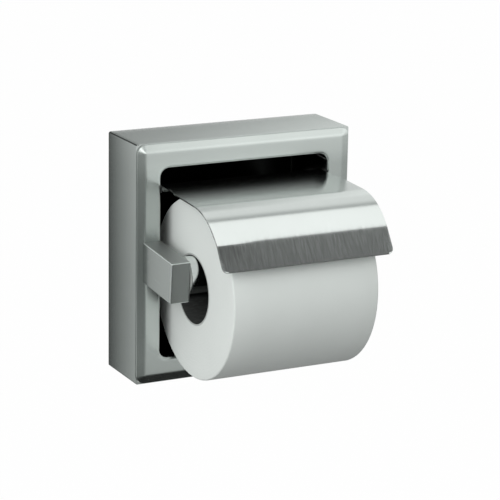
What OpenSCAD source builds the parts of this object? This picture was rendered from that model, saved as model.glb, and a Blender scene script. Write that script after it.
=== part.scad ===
// Hooded toilet paper holder in a surface-mounting box, with a roll of paper on it.
// Frame: +X to the right, +Y into the wall, +Z up. The origin is the middle of the back, on the wall.

/* [Box] */
// Width of the box and its collar
box_w = 159; // [150:1:200]
// Height of the box and its collar
box_h = 165; // [156:1:210]
// Depth of the collar, from the wall to its front lip
collar_depth = 45; // [44:0.5:60]
// Thickness of the collar, the recess and the flange
sheet_t = 1; // [0.8:0.1:1.4]
// Width of the collar's turned-in front lip
collar_lip_w = 5; // [4:0.1:5.2]
// Outside radius of the collar's bent corners
collar_bend_r = 1.6; // [1.5:0.1:3]

/* [Flange and recess] */
// How far the flange's edge stays inside the collar's faces
flange_inset = 0.4; // [0.2:0.1:1]
// Radius of the flange's outer corners
flange_corner_r = 6; // [5.8:0.1:8]
// Width of the bevel round the flange
bevel_w = 5.5; // [4:0.1:5.6]
// How far the flange's flat face stands in front of its bevelled edge
bevel_rise = 1.5; // [1:0.1:3]
// Width of the flange's face on each side of the opening, from the box's outside
rim_w = 17; // [16.5:0.5:20]
// Radius of the opening's corners
opening_corner_r = 6.5; // [6:0.5:12]
// Radius of the rolled edge round the opening
opening_edge_r = 1.5; // [1.45:0.05:2]
// Inside radius where the recess's walls meet its back
floor_r = 4; // [2:0.5:5]

/* [Wall fixing] */
// Distance from the sides of the opening in to the wall screw holes
hole_inset_x = 11.5; // [10.5:0.5:24]
// Distance from the top and bottom of the opening in to the wall screw holes
hole_inset_z = 25.5; // [12:0.5:32]
// Diameter of the wall screw holes
hole_d = 4.8; // [4:0.1:6.5]

/* [Posts] */
// How far the posts stand in from the sides of the opening
post_inset = 1.5; // [0:0.1:2]
// How far the posts reach over the bevel
post_over = 1; // [0:0.1:2]
// How far the posts slope down towards the room, in degrees
post_fall = 4.4; // [0:0.1:6]
// Height of a post
post_h = 27.8; // [24:0.1:30]
// Radius of a post's edges
post_edge_r = 1; // [0.4:0.1:2]
// Distance from a post's front to the roller's axis
post_nose = 13; // [12.6:0.1:15]

/* [Roller] */
// Outside diameter of the roller's fixed half
roller_d = 25; // [23:0.5:26]
// Wall of each of the roller's tubes
tube_wall = 1.2; // [0.8:0.1:1.6]
// Length of the roller's outer tube, as a share of both tubes together
outer_tube_share = 0.71; // [0.62:0.01:0.8]
// Length of the roller's inner tube, as a share of both tubes together
inner_tube_share = 0.63; // [0.56:0.01:0.7]
// Thickness of an end cap's rim
cap_rim_t = 1.2; // [0.8:0.1:2]
// Length of an end cap's plug inside its tube
cap_plug_len = 6; // [4:0.5:9]
// Diameter of an end cap's nib
nib_d = 8; // [6:0.5:9]
// How far the inner tube is pushed into the outer one to free its nib
plunger_travel = 6; // [5:0.1:6.3]
// Wire diameter of the roller's spring
spring_wire_d = 1.2; // [0.8:0.1:1.6]
// Mean diameter of the roller's spring
spring_d = 14; // [10:0.5:16]
// Number of turns of the roller's spring
spring_turns = 14; // [8:1:16]

/* [Paper] */
// How much smaller than the opening the roll is, above and below
roll_clear = 5; // [5:0.5:12]
// Gap between each end of the roll and its post
roll_end_gap = 8.2; // [5:0.1:14]
// Gap between the roll and the back of the recess
roll_back_gap = 16; // [12:0.5:20]
// Inside diameter of the cardboard core
core_d = 46; // [40:1:50]
// Wall of the cardboard core
core_wall = 1.2; // [0.8:0.1:2]
// Softening of the roll's edges
roll_edge_r = 1.2; // [0.5:0.1:3]

/* [Hood] */
// Gap between each side of the hood and the opening
hood_side_gap = 2; // [1.5:0.1:5]
// Thickness of the hood's sheet
hood_t = 1; // [0.8:0.1:1.5]
// How far the hood's top falls towards the front, in degrees
hood_fall = 2.75; // [1:0.25:5]
// Slope of the front lip below level, in degrees
lip_fall = 55; // [45:1:65]
// Where the hood's bend starts past the roller, as a share of the roll's radius
bend_start_share = 0.347; // [0.3:0.001:0.38]
// Outside radius of the hood's bend, as a share of the roll's radius
bend_r_share = 0.694; // [0.65:0.001:0.74]
// Length of the flat front lip, along its slope, as a share of the roll's radius
lip_len_share = 0.273; // [0.2:0.001:0.36]
// Radius of the hood's lower corners
hood_corner_r = 4; // [2:0.5:7]
// Distance from the flange's face back to the hinge rod
hinge_setback = 4; // [3.8:0.1:7]
// Diameter of the hinge rod
rod_d = 3; // [2.4:0.1:4]

/* [Fasteners] */
// Thread diameter of the post screws
screw_d = 4; // [3:0.5:4.5]
// Distance between the two screws of a post
screw_pitch = 14; // [11:0.5:15]
// Thread length of a post screw
screw_len = 12; // [10:1:18]
// Thickness of a backing plate
plate_t = 2; // [1.5:0.5:3]
// Height of a backing plate
plate_h = 50; // [40:1:60]

/* [Hidden] */
$fn = 96;

// Overrun of every cut past the face it opens
eps = 1;
// Gap between pieces that turn or slide past each other side by side
side_gap = 0.3;
// Radial clearance of a running or sliding fit
run_fit = 0.05;
// Radial clearance of a fit within one body
still_fit = 0.03;

// Opening, and what is sized from it
opening_w = box_w - 2 * rim_w;
opening_h = box_h - 2 * rim_w;
hole_pitch_x = opening_w - 2 * hole_inset_x;
hole_pitch_z = opening_h - 2 * hole_inset_z;
post_gap = opening_w - 2 * post_inset;
roll_w = post_gap - 2 * roll_end_gap;
roll_r = opening_h / 2 - roll_clear;
hood_w = opening_w - 2 * hood_side_gap;

// Depths from the wall
flange_back = collar_depth + bevel_rise;
flange_front = flange_back + sheet_t;
roller_depth = sheet_t + roll_back_gap + roll_r;
hinge_depth = flange_front - hinge_setback;

// Flange and recess
flange_w = box_w - 2 * flange_inset;
flange_h = box_h - 2 * flange_inset;
flat_w = flange_w - 2 * bevel_w;
flat_h = flange_h - 2 * bevel_w;
flat_corner_r = flange_corner_r - bevel_w;
flange_land = sheet_t;
recess_wall_x = opening_w / 2 + sheet_t;

// Collar seam and corner reliefs
seam_w = 0.4;
seam_tab_w = 8;
relief_r = 1.3;

// Posts
post_t = rim_w + post_inset + post_over - bevel_w;
post_root = 2 * post_edge_r + post_h * sin(post_fall);
post_reach = roller_depth + post_nose - flange_front + post_root;
post_x = post_gap / 2 + post_t / 2;
bush_wall = 2;
nib_len = plunger_travel - 0.8 * sheet_t;
bush_len = nib_len + side_gap + 1.2 * sheet_t;
nib_r = nib_d / 2;
bush_in_r = nib_r + run_fit;
bush_out_r = bush_in_r + bush_wall;
bush_chamfer = 0.4;

// Screws, washers and plates
screw_r = screw_d / 2;
screw_head_r = 0.95 * screw_d;
screw_head_t = 0.6 * screw_d;
screw_hole_r = screw_r + 0.05 * screw_d;
drive_r = 0.45 * screw_d;
drive_depth = 0.35 * screw_d;
drive_slot_t = 0.2 * screw_d;
washer_in_r = screw_r + 0.03 * screw_d;
washer_out_r = 0.9 * screw_d;
washer_t = 0.22 * screw_d;
washer_cut = 0.15 * screw_d;
plate_in_x = recess_wall_x + sheet_t * 0.7;
plate_out_x = flat_w / 2 - flange_inset / 2;
plate_w = plate_out_x - plate_in_x;
plate_corner_r = plate_w / 6;
plate_x = (plate_in_x + plate_out_x) / 2;

// Roller, from its fixed left end to its sprung right end
roller_r = roller_d / 2;
inner_tube_r = roller_r - tube_wall - run_fit;
roller_half = post_gap / 2 - side_gap;
tube_end = roller_half - cap_rim_t;
outer_tube_len = outer_tube_share * 2 * tube_end;
inner_tube_len = inner_tube_share * 2 * tube_end;
nib_chamfer = nib_d / 10;
tube_lead = tube_wall / 3;
spigot_r = spring_d / 2 - spring_wire_d;
spigot_len = 2 * spring_wire_d * 2;
spring_end = tube_end - cap_plug_len;
spring_seat_gap = 0.05;
spring_rings = 10;
spring_sides = 6;

// Core of the roll
core_r = core_d / 2;
core_out_r = core_r + core_wall;
hang_gap = 0.3;
roll_z = -(core_r - roller_r - hang_gap);

// Hinge and hood, in the plane across the hood: first coordinate is depth from the wall, second is height
rod_r = rod_d / 2;
curl_in_r = rod_r + run_fit;
curl_out_r = curl_in_r + hood_t;
hood_gap = 0.5;
hinge_z = roll_z
    + (roll_r + hood_gap - curl_in_r + sin(hood_fall) * (roller_depth - hinge_depth)) / cos(hood_fall);
curl_open_angle = 60;
hood_flat_len = roller_depth - hinge_depth + bend_start_share * roll_r;
hood_bend_r = bend_r_share * roll_r;
hood_lip_len = lip_len_share * roll_r;
bend_angle = lip_fall - hood_fall;
// The bend's ends run this many degrees into the flat top and the lip, this far inside their faces
bend_lap = 0.3;
bend_step = 0.02;

// Hinge rod, its bushes and its rings
ring_t = sheet_t / 2;
ring_out_r = rod_d * 0.85;
ring_gap = sheet_t / 10;
hinge_bush_wall = 0.8;
hinge_bush_out_r = rod_r + still_fit + hinge_bush_wall;
hinge_bush_rim_r = rod_d;
hinge_bush_rim_t = 0.7 * hood_side_gap;
rod_half = recess_wall_x + ring_gap + ring_t + rod_d / 2;
rod_chamfer = rod_d / 10;

// Finishes
satin_steel = [0.72, 0.74, 0.72];
bright_steel = [0.8, 0.81, 0.81];
zinc = [0.62, 0.64, 0.66];
nylon = [0.86, 0.87, 0.85];
board = [0.55, 0.52, 0.46];
tissue = [0.93, 0.94, 0.93];

// Turns a shape drawn with its depth upwards so that its depth stands out from the wall
module on_wall() {
    rotate([90, 0, 0]) children();
}

// Lays a shape drawn along its own Z axis along X instead, at the roller's axis
module on_roller_axis() {
    translate([0, -roller_depth, 0]) rotate([0, 90, 0]) children();
}

// Filled rectangle with round corners, centred
module round_rect(w, h, r) {
    square([w - 2 * r, h], center = true);
    square([w, h - 2 * r], center = true);
    for (sx = [-1, 1], sy = [-1, 1])
        translate([sx * (w / 2 - r), sy * (h / 2 - r)]) circle(r);
}

// Sweeps a section round a rectangle with round corners; the section's X is the distance from a corner's centre
module rect_sweep(w, h, r) {
    for (side = [0:3]) {
        along = side % 2 == 0 ? h / 2 - r : w / 2 - r;
        out = side % 2 == 0 ? w / 2 - r : h / 2 - r;
        rotate([0, 0, 90 * side]) translate([out, along, 0]) {
            rotate([90, 0, 0]) linear_extrude(height = 2 * along) children();
            rotate_extrude(angle = 90) children();
        }
    }
}

// Quarter of a bent sheet: inside radius, thickness, and the signs of the quadrant that it fills
module sheet_bend(inside_r, t, sx, sy) {
    intersection() {
        difference() {
            circle(inside_r + t);
            circle(inside_r);
        }
        translate([sx > 0 ? 0 : -inside_r - t, sy > 0 ? 0 : -inside_r - t]) square(inside_r + t);
    }
}

// Block with its edges and corners rounded, centred
module soft_block(size, r) {
    core = [size[0] - 2 * r, size[1] - 2 * r, size[2] - 2 * r];
    cube([size[0], core[1], core[2]], center = true);
    cube([core[0], size[1], core[2]], center = true);
    cube([core[0], core[1], size[2]], center = true);
    for (a = [-1, 1], b = [-1, 1]) {
        translate([0, a * core[1] / 2, b * core[2] / 2]) rotate([0, 90, 0])
            cylinder(r = r, h = core[0], center = true, $fn = 32);
        translate([a * core[0] / 2, 0, b * core[2] / 2]) rotate([90, 0, 0])
            cylinder(r = r, h = core[1], center = true, $fn = 32);
        translate([a * core[0] / 2, b * core[1] / 2, 0])
            cylinder(r = r, h = core[2], center = true, $fn = 32);
        for (c = [-1, 1])
            translate([a * core[0] / 2, b * core[1] / 2, c * core[2] / 2]) sphere(r, $fn = 32);
    }
}

// Hollow tube along Z from a start height, with a small chamfer at both outside ends
module tube(out_r, in_r, start, len, lead) {
    translate([0, 0, start]) rotate_extrude()
        polygon([[in_r, 0], [out_r - lead, 0], [out_r, lead], [out_r, len - lead], [out_r - lead, len], [in_r, len]]);
}

// Places a child at the two screws of a post, its Z towards the room
module at_post_screws(side) {
    for (up = [-1, 1])
        on_wall() translate([side * post_x, up * screw_pitch / 2, 0]) children();
}

// Collar: a strip bent round three corners, with a turned-in front lip and a lapped seam at the fourth
module surface_collar() {
    color(satin_steel) on_wall() difference() {
        union() {
            rect_sweep(box_w, box_h, collar_bend_r)
                translate([collar_bend_r - sheet_t, 0]) square([sheet_t, collar_depth]);
            translate([0, 0, collar_depth - sheet_t]) linear_extrude(height = sheet_t) difference() {
                round_rect(box_w, box_h, collar_bend_r);
                square([box_w - 2 * collar_lip_w, box_h - 2 * collar_lip_w], center = true);
            }
            translate([sheet_t / 2 - box_w / 2, box_h / 2 - 2 * sheet_t, 0])
                cube([seam_tab_w, sheet_t, collar_depth]);
        }
        translate([collar_bend_r - box_w / 2, box_h / 2 - sheet_t, -eps])
            cube([seam_w, sheet_t + eps, collar_depth + 2 * eps]);
        for (corner = [[1, 1], [1, -1], [-1, -1]])
            translate([corner[0] * (box_w / 2 - collar_bend_r - relief_r),
                corner[1] * (box_h / 2 - collar_bend_r - relief_r), collar_depth - sheet_t - eps])
                cylinder(r = relief_r, h = sheet_t + 2 * eps);
    }
}

// Section of the drawn recess from its back to the flange, measured from a corner's centre
module recess_section() {
    translate([opening_corner_r - floor_r, floor_r + sheet_t]) sheet_bend(floor_r, sheet_t, 1, -1);
    translate([opening_corner_r, floor_r + sheet_t])
        square([sheet_t, flange_front - opening_edge_r - floor_r - sheet_t]);
    translate([opening_corner_r + opening_edge_r, flange_front - opening_edge_r])
        sheet_bend(opening_edge_r - sheet_t, sheet_t, -1, 1);
}

// Section of the bevel round the flange, measured from a corner's centre
module bevel_section() {
    polygon([[flange_corner_r, collar_depth], [flange_corner_r, collar_depth + sheet_t],
        [flat_corner_r, flange_front], [flat_corner_r, flange_back], [flange_corner_r - flange_land, collar_depth]]);
}

// Recess and flange drawn from one sheet, with its wall, hinge and post holes
module recess_pan() {
    color(satin_steel) difference() {
        on_wall() {
            rect_sweep(flange_w, flange_h, flange_corner_r) bevel_section();
            translate([0, 0, flange_back]) linear_extrude(height = sheet_t) difference() {
                round_rect(flat_w, flat_h, flat_corner_r);
                round_rect(opening_w + 2 * opening_edge_r, opening_h + 2 * opening_edge_r,
                    opening_corner_r + opening_edge_r);
            }
            rect_sweep(opening_w, opening_h, opening_corner_r) recess_section();
            linear_extrude(height = sheet_t)
                round_rect(opening_w - 2 * floor_r, opening_h - 2 * floor_r, opening_corner_r - floor_r);
        }
        for (sx = [-1, 1], sz = [-1, 1])
            on_wall() translate([sx * hole_pitch_x / 2, sz * hole_pitch_z / 2, -eps])
                cylinder(d = hole_d, h = sheet_t + 2 * eps);
        for (side = [-1, 1]) {
            at_post_screws(side) translate([0, 0, flange_back - eps])
                cylinder(r = screw_hole_r, h = sheet_t + 2 * eps);
            translate([side * (opening_w / 2 + sheet_t / 2), -hinge_depth, hinge_z]) rotate([0, 90, 0])
                cylinder(r = hinge_bush_out_r + still_fit, h = sheet_t + 2 * eps, center = true);
        }
    }
}

// Post on one side: a solid bar that slopes down towards the room, cut flush with the flange, with a blind socket
// for the bush and two blind screw holes
module post(side) {
    color(satin_steel) difference() {
        translate([side * post_x, -roller_depth, 0]) rotate([post_fall, 0, 0])
            translate([0, post_reach / 2 - post_nose, 0]) soft_block([post_t, post_reach, post_h], post_edge_r);
        translate([side * post_x, -flange_front + post_root, 0])
            cube([post_t + 2 * eps, 2 * post_root, 2 * post_h], center = true);
        translate([side * post_gap / 2, -roller_depth, 0]) rotate([0, side * 90, 0])
            translate([0, 0, -eps]) cylinder(r = bush_out_r + still_fit, h = bush_len + eps);
        at_post_screws(side) translate([0, 0, flange_front - eps])
            cylinder(r = screw_r + still_fit, h = screw_len + eps);
    }
}

module left_post() {
    post(-1);
}

module right_post() {
    post(1);
}

// Bush for one end of the roller, pressed into its post
module post_bush(side) {
    color(nylon) translate([side * post_gap / 2, -roller_depth, 0]) rotate([0, side * 90, 0]) rotate_extrude()
        polygon([[bush_in_r + bush_chamfer, 0], [bush_out_r, 0], [bush_out_r, bush_len], [bush_in_r, bush_len],
            [bush_in_r, bush_chamfer]]);
}

module left_post_bush() {
    post_bush(-1);
}

module right_post_bush() {
    post_bush(1);
}

// Plate behind the flange that spreads the load of a post
module backing_plate(side) {
    color(zinc) difference() {
        on_wall() translate([side * plate_x, 0, flange_back - plate_t])
            linear_extrude(height = plate_t) round_rect(plate_w, plate_h, plate_corner_r);
        at_post_screws(side) translate([0, 0, flange_back - plate_t - eps])
            cylinder(r = screw_hole_r, h = plate_t + 2 * eps);
    }
}

module left_backing_plate() {
    backing_plate(-1);
}

module right_backing_plate() {
    backing_plate(1);
}

// One post screw: a low head with a cross drive behind the plate, its shank towards the room
module post_screw() {
    head_z = flange_back - plate_t - washer_t - screw_head_t;
    difference() {
        union() {
            translate([0, 0, head_z]) cylinder(r1 = 0.8 * screw_head_r, r2 = screw_head_r, h = screw_head_t / 2);
            translate([0, 0, head_z + screw_head_t / 2]) cylinder(r = screw_head_r, h = screw_head_t / 2);
            translate([0, 0, head_z]) cylinder(r = screw_r, h = screw_head_t + washer_t + plate_t + screw_len);
        }
        for (turn = [0, 90])
            rotate([0, 0, turn]) translate([-drive_r, -drive_slot_t / 2, head_z - eps])
                cube([2 * drive_r, drive_slot_t, drive_depth + eps]);
    }
}

module post_screws() {
    color(zinc) for (side = [-1, 1]) at_post_screws(side) post_screw();
}

// Split spring washers under the screw heads
module lock_washers() {
    color(zinc) for (side = [-1, 1])
        at_post_screws(side) translate([0, 0, flange_back - plate_t - washer_t]) difference() {
            cylinder(r = washer_out_r, h = washer_t);
            translate([0, 0, -eps]) cylinder(r = washer_in_r, h = washer_t + 2 * eps);
            translate([0, -washer_cut / 2, -eps]) cube([washer_out_r + eps, washer_cut, washer_t + 2 * eps]);
        }
}

// Outline of the hood's front lip: X runs down the lip from the bend, Y across the hood
module lip_outline() {
    square([hood_lip_len - hood_corner_r, hood_w]);
    translate([0, hood_corner_r]) square([hood_lip_len, hood_w - 2 * hood_corner_r]);
    for (across = [hood_corner_r, hood_w - hood_corner_r])
        translate([hood_lip_len - hood_corner_r, across]) circle(hood_corner_r);
}

// Hood in its own frame: X out from the hinge along the flat top, Y up from the hinge, Z across
module hood_sheet() {
    linear_extrude(height = hood_w) {
        difference() {
            circle(curl_out_r);
            circle(curl_in_r);
            translate([0, -curl_in_r * cos(curl_open_angle)]) square(2 * curl_out_r);
        }
        translate([0, curl_in_r]) square([hood_flat_len, hood_t]);
    }
    translate([hood_flat_len, curl_out_r - hood_bend_r, 0]) {
        rotate([0, 0, 90 - bend_angle - bend_lap]) rotate_extrude(angle = bend_angle + 2 * bend_lap, $fn = 180)
            translate([hood_bend_r - hood_t + bend_step, 0]) square([hood_t - 2 * bend_step, hood_w]);
        rotate([0, 0, 90 - bend_angle]) translate([hood_bend_r, 0, 0])
            rotate([90, 0, -90]) linear_extrude(height = hood_t) lip_outline();
    }
}

// Hood: one sheet curled round the hinge rod at the back and bent down at the front
module hood() {
    color(satin_steel) translate([-hood_w / 2, -hinge_depth, hinge_z]) rotate([90, 0, 90])
        mirror([1, 0, 0]) rotate([0, 0, -hood_fall]) hood_sheet();
}

// Rod that the hood turns on, fixed in the sides of the recess
module hinge_rod() {
    color(bright_steel) translate([0, -hinge_depth, hinge_z]) rotate([0, 90, 0]) rotate_extrude()
        polygon([[0, -rod_half], [rod_r - rod_chamfer, -rod_half], [rod_r, rod_chamfer - rod_half],
            [rod_r, rod_half - rod_chamfer], [rod_r - rod_chamfer, rod_half], [0, rod_half]]);
}

// Flanged bushes that line the rod's holes in the recess
module hinge_bushes() {
    color(nylon) for (side = [-1, 1])
        translate([side * opening_w / 2, -hinge_depth, hinge_z]) rotate([0, side * 90, 0]) rotate_extrude()
            polygon([[rod_r + still_fit, -hinge_bush_rim_t], [hinge_bush_rim_r, -hinge_bush_rim_t],
                [hinge_bush_rim_r, 0], [hinge_bush_out_r, 0], [hinge_bush_out_r, sheet_t],
                [rod_r + still_fit, sheet_t]]);
}

// Push-on rings that keep the rod in place, outside the recess
module push_rings() {
    color(zinc) for (side = [-1, 1])
        translate([side * (recess_wall_x + ring_gap), -hinge_depth, hinge_z]) rotate([0, side * 90, 0])
            difference() {
                cylinder(r = ring_out_r, h = ring_t);
                translate([0, 0, -eps]) cylinder(r = rod_r + still_fit, h = ring_t + 2 * eps);
            }
}

// Outer tube of the roller, on the left
module roller_outer_tube() {
    color(bright_steel) on_roller_axis()
        tube(roller_r, roller_r - tube_wall, -tube_end, outer_tube_len, tube_lead);
}

// Inner tube of the roller, which slides into the outer one
module roller_inner_tube() {
    color(bright_steel) on_roller_axis()
        tube(inner_tube_r, inner_tube_r - tube_wall, tube_end - inner_tube_len, inner_tube_len, tube_lead);
}

// End cap of a tube: spring spigot, plug, rim and nib on one axis
module roller_cap(side, tube_r) {
    plug_r = tube_r - tube_wall - still_fit;
    color(nylon) on_roller_axis() rotate([side < 0 ? 180 : 0, 0, 0]) rotate_extrude()
        polygon([[0, spring_end - spigot_len], [spigot_r, spring_end - spigot_len], [spigot_r, spring_end],
            [plug_r, spring_end], [plug_r, tube_end], [tube_r, tube_end], [tube_r, roller_half - tube_lead],
            [tube_r - tube_lead, roller_half], [nib_r, roller_half], [nib_r, roller_half + nib_len - nib_chamfer],
            [nib_r - nib_chamfer, roller_half + nib_len], [0, roller_half + nib_len]]);
}

module roller_outer_cap() {
    roller_cap(-1, roller_r);
}

module roller_inner_cap() {
    roller_cap(1, inner_tube_r);
}

// Points of one ring of a wire that climbs round the Z axis
function wire_ring(turn, height, mean_r, wire_r, sides) = [
    for (k = [0:sides - 1])
        let (a = 360 * k / sides, r = mean_r + wire_r * cos(a))
        [r * cos(360 * turn), r * sin(360 * turn), height + wire_r * sin(a)]
];

// Compression spring inside the roller, one unbroken wire from cap to cap
module roller_spring() {
    wire_r = spring_wire_d / 2;
    low = -spring_end + wire_r + spring_seat_gap;
    high = spring_end - wire_r - spring_seat_gap;
    steps = spring_turns * spring_rings;
    points = [
        for (i = [0:steps])
            each wire_ring(i / spring_rings, low + (high - low) * i / steps, spring_d / 2, wire_r, spring_sides)
    ];
    sides = [
        for (i = [0:steps - 1], k = [0:spring_sides - 1])
            let (n = (k + 1) % spring_sides, a = i * spring_sides, b = a + spring_sides)
            each [[a + k, b + n, a + n], [a + k, b + k, b + n]]
    ];
    first = [for (k = [1:spring_sides - 2]) [0, k, k + 1]];
    last = [for (k = [1:spring_sides - 2]) let (z = steps * spring_sides) [z, z + k + 1, z + k]];
    color(zinc) on_roller_axis() polyhedron(points, concat(sides, first, last));
}

// Cardboard core of the roll, hanging on the roller
module cardboard_core() {
    color(board) translate([0, 0, roll_z]) on_roller_axis() difference() {
        cylinder(r = core_out_r, h = roll_w, center = true);
        cylinder(r = core_r, h = roll_w + 2 * eps, center = true);
    }
}

// Paper wound on the core
module paper_roll() {
    color(tissue) translate([0, 0, roll_z]) on_roller_axis() rotate_extrude($fn = 180) {
        translate([core_out_r, -roll_w / 2]) square([roll_r - roll_edge_r - core_out_r, roll_w]);
        translate([core_out_r, roll_edge_r - roll_w / 2]) square([roll_r - core_out_r, roll_w - 2 * roll_edge_r]);
        for (side = [-1, 1])
            translate([roll_r - roll_edge_r, side * (roll_w / 2 - roll_edge_r)]) circle(roll_edge_r, $fn = 48);
    }
}

surface_collar();
recess_pan();
left_post();
right_post();
left_backing_plate();
right_backing_plate();
post_screws();
lock_washers();
left_post_bush();
right_post_bush();
hood();
hinge_rod();
hinge_bushes();
push_rings();
roller_outer_tube();
roller_outer_cap();
roller_inner_tube();
roller_inner_cap();
roller_spring();
cardboard_core();
paper_roll();
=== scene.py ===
"""Hooded toilet paper holder: finishes, dressed pieces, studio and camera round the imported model."""
import logging
import math
from dataclasses import dataclass
from enum import Enum
from typing import Callable

import bmesh
import bpy
import numpy as np
from mathutils import Matrix, Vector


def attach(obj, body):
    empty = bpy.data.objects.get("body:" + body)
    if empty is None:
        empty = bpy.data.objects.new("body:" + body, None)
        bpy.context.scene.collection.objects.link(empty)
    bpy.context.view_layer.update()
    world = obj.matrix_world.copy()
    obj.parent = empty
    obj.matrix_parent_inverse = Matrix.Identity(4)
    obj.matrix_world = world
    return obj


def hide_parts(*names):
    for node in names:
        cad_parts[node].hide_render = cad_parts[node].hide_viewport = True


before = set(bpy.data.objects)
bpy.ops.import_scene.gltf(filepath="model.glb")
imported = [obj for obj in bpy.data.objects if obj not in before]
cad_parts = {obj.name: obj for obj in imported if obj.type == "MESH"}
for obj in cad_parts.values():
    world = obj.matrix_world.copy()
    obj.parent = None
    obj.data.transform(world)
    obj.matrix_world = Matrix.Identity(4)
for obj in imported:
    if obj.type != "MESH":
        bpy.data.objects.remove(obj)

LOG = logging.getLogger("paper_holder")
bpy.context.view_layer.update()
MM = 0.001
GRAIN = "grain"
WELD = 0.000002
FINE_WELD = 0.0000005
ON_PLANE = 0.0000001

Socket = bpy.types.NodeSocket
Material = bpy.types.Material
Thing = bpy.types.Object
Triple = tuple[float, float, float]
Span = tuple[float, float]
Stops = tuple[Span, ...]
Closing = Callable[[bmesh.types.BMesh], None]

WHITE = (1.0, 1.0, 1.0)
EVEN = ((-1.0, 1.0), (1.0, 1.0))
# Normal span over which painted shade on end faces grows.
ENDS = (0.9, 0.99)
RED_SHARE, RED_LOSS = 0.988, 0.04
BLUE_SHARE, BLUE_LOSS = 0.994, 0.02


class Slot(Enum):
    """Material slots of the pieces that this script builds."""

    STEEL = "satin_steel"
    TISSUE = "tissue"
    ZINC = "zinc"


# Node trees


class Graph:
    """Adds, feeds and links the nodes of one tree."""

    def __init__(self, tree: bpy.types.NodeTree) -> None:
        """Keeps the tree that the nodes go into."""
        self.tree = tree

    def feed(self, target: Socket, value: object) -> None:
        """Feeds an input.

        Args:
            target: the input.
            value: a socket to link it to, or a plain value.
        """
        if isinstance(value, Socket):
            self.tree.links.new(value, target)
        else:
            target.default_value = value

    def add(self, kind: str, settings: dict[str, object] | None = None, *values: object,
            **inputs: object) -> bpy.types.Node:
        """Adds a node, sets its properties and feeds its inputs.

        Args:
            kind: Blender's name for the node type.
            settings: properties of the node.
            values: sockets or values for its first inputs, in order.
            inputs: sockets or values by input name; underscores stand for spaces.

        Returns:
            The new node.
        """
        node = self.tree.nodes.new(kind)
        for key, value in (settings or {}).items():
            setattr(node, key, value)
        for target, value in zip(node.inputs, values):
            self.feed(target, value)
        for key, value in inputs.items():
            self.feed(next(s for s in node.inputs if s.name == key.replace("_", " ") and s.enabled), value)
        return node

    def math(self, operation: str, *values: object) -> Socket:
        """Adds a sum of sockets or numbers by Blender's name for the operation."""
        return self.add("ShaderNodeMath", {"operation": operation}, *values).outputs[0]

    def vector(self, operation: str, output: str, **inputs: object) -> Socket:
        """Adds a vector sum by Blender's name for the operation and gives one of its outputs."""
        return self.add("ShaderNodeVectorMath", {"operation": operation}, **inputs).outputs[output]

    def split(self, vector: Socket) -> bpy.types.bpy_prop_collection:
        """Splits a vector into its X, Y and Z outputs."""
        return self.add("ShaderNodeSeparateXYZ", Vector=vector).outputs

    def coordinate(self, source: str) -> Socket:
        """Gives an output of the coordinate node, such as Object or Normal."""
        return self.add("ShaderNodeTexCoord").outputs[source]

    def parts(self, source: str) -> bpy.types.bpy_prop_collection:
        """Splits a coordinate, such as Object or Normal, into its X, Y and Z outputs."""
        return self.split(self.coordinate(source))

    def spread(self, value: Socket, low: float = 0.0, high: float = 1.0, start: float = 0.3,
               end: float = 0.7) -> Socket:
        """Maps a range of a value onto another range, and keeps to its ends outside it.

        Args:
            value: the value, which for a pattern mostly lies between 0.3 and 0.7.
            low: result at start.
            high: result at end.
            start: value that gives low.
            end: value that gives high.

        Returns:
            The mapped value.
        """
        return self.add("ShaderNodeMapRange", None, value, start, end, low, high).outputs["Result"]


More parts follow.
